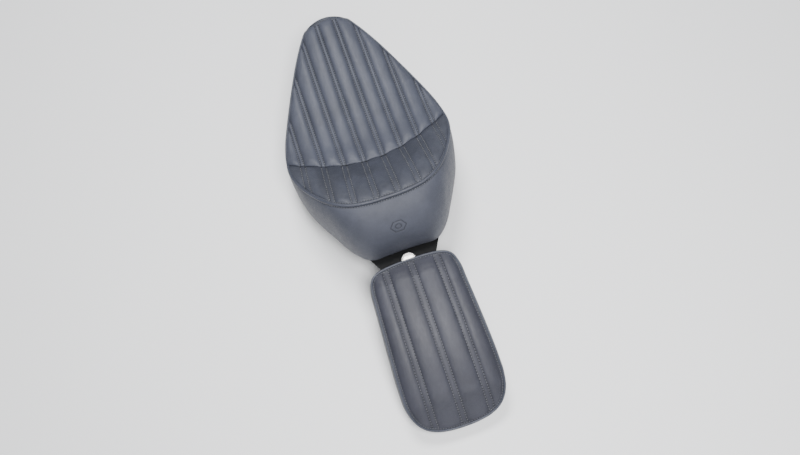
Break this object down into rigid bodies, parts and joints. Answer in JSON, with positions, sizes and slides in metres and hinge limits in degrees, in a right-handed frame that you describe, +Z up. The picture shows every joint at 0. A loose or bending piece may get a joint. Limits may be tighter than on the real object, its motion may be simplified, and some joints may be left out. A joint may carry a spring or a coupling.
{
  "type": "motorcycle seat",
  "caption": "Ribbed solo motorcycle seat with raised bolster and a matching passenger pad on the fender, joined by a knurled thumb screw.",
  "frame": {"origin": "the thumb screw's axis where the rear mount plate rests on the fender", "axes": "+Y forward towards the rider seat's nose, +X to the rider's right, +Z up, square to the plate"},
  "size_m": [0.2768, 0.7067, 0.1645],
  "materials": {
    "leather": "satin charcoal, fine grain",
    "band_leather": "satin charcoal, a little darker, soft",
    "welt_leather": "satin charcoal piping",
    "stitching": "twisted grey thread",
    "foam": "open-cell moulded foam",
    "quilting": "soft quilting foam",
    "pan_plastic": "textured black moulding",
    "rubber": "matt",
    "black_steel": "black powder coat",
    "zinc": "zinc plated",
    "bright_steel": "turned, bright"
  },
  "bodies": {
    "rider_seat": {"seat_pan": "pan_plastic", "seat_foam": "foam", "top_panel": "leather", "top_quilting": "quilting", "bolster_band": "band_leather", "band_quilting": "quilting", "side_wrap": "leather", "welt_bead": "welt_leather", "nose_binding": "band_leather", "mount_plate": "black_steel", "plate_rivet_left": "zinc", "plate_rivet_right": "zinc", "front_hook": "black_steel", "hook_rivet_rear": "zinc", "hook_rivet_front": "zinc", "bumper_rear_left": "rubber", "bumper_rear_right": "rubber", "bumper_front_left": "rubber", "bumper_front_right": "rubber", "fender_nut": "zinc"},
    "captive_washers": {"flat_washer": "zinc", "rubber_washer": "rubber"},
    "screw": {"thumb_screw": "bright_steel"},
    "passenger_pad": {"pad_top_panel": "leather", "pad_side_band": "leather", "pad_welt": "welt_leather", "pad_foam": "foam", "pad_quilting": "quilting", "pad_pan": "pan_plastic", "pad_fork": "black_steel", "fork_rivet_left": "zinc", "fork_rivet_right": "zinc", "pad_foot_front_left": "rubber", "pad_foot_front_right": "rubber", "pad_foot_rear_left": "rubber", "pad_foot_rear_right": "rubber"}
  },
  "joints": [
    {"name": "screw_lift", "type": "slide", "parent": "rider_seat", "child": "captive_washers", "axis": [0, 0, 1], "range_m": [0, 0.00762]},
    {"name": "screw_turn", "type": "hinge", "parent": "captive_washers", "child": "screw", "pos_m": [0, 0, 0.013], "axis": [0, 0, 1], "range_deg": [0, 2161]},
    {"name": "pad_slide", "type": "slide", "parent": "rider_seat", "child": "passenger_pad", "axis": [0, -1, 0], "range_m": [0, 0.045]}
  ],
  "couplings": [
    {"joint": "screw_turn", "follows": "screw_lift", "rad_per_m": 4947.4}
  ]
}
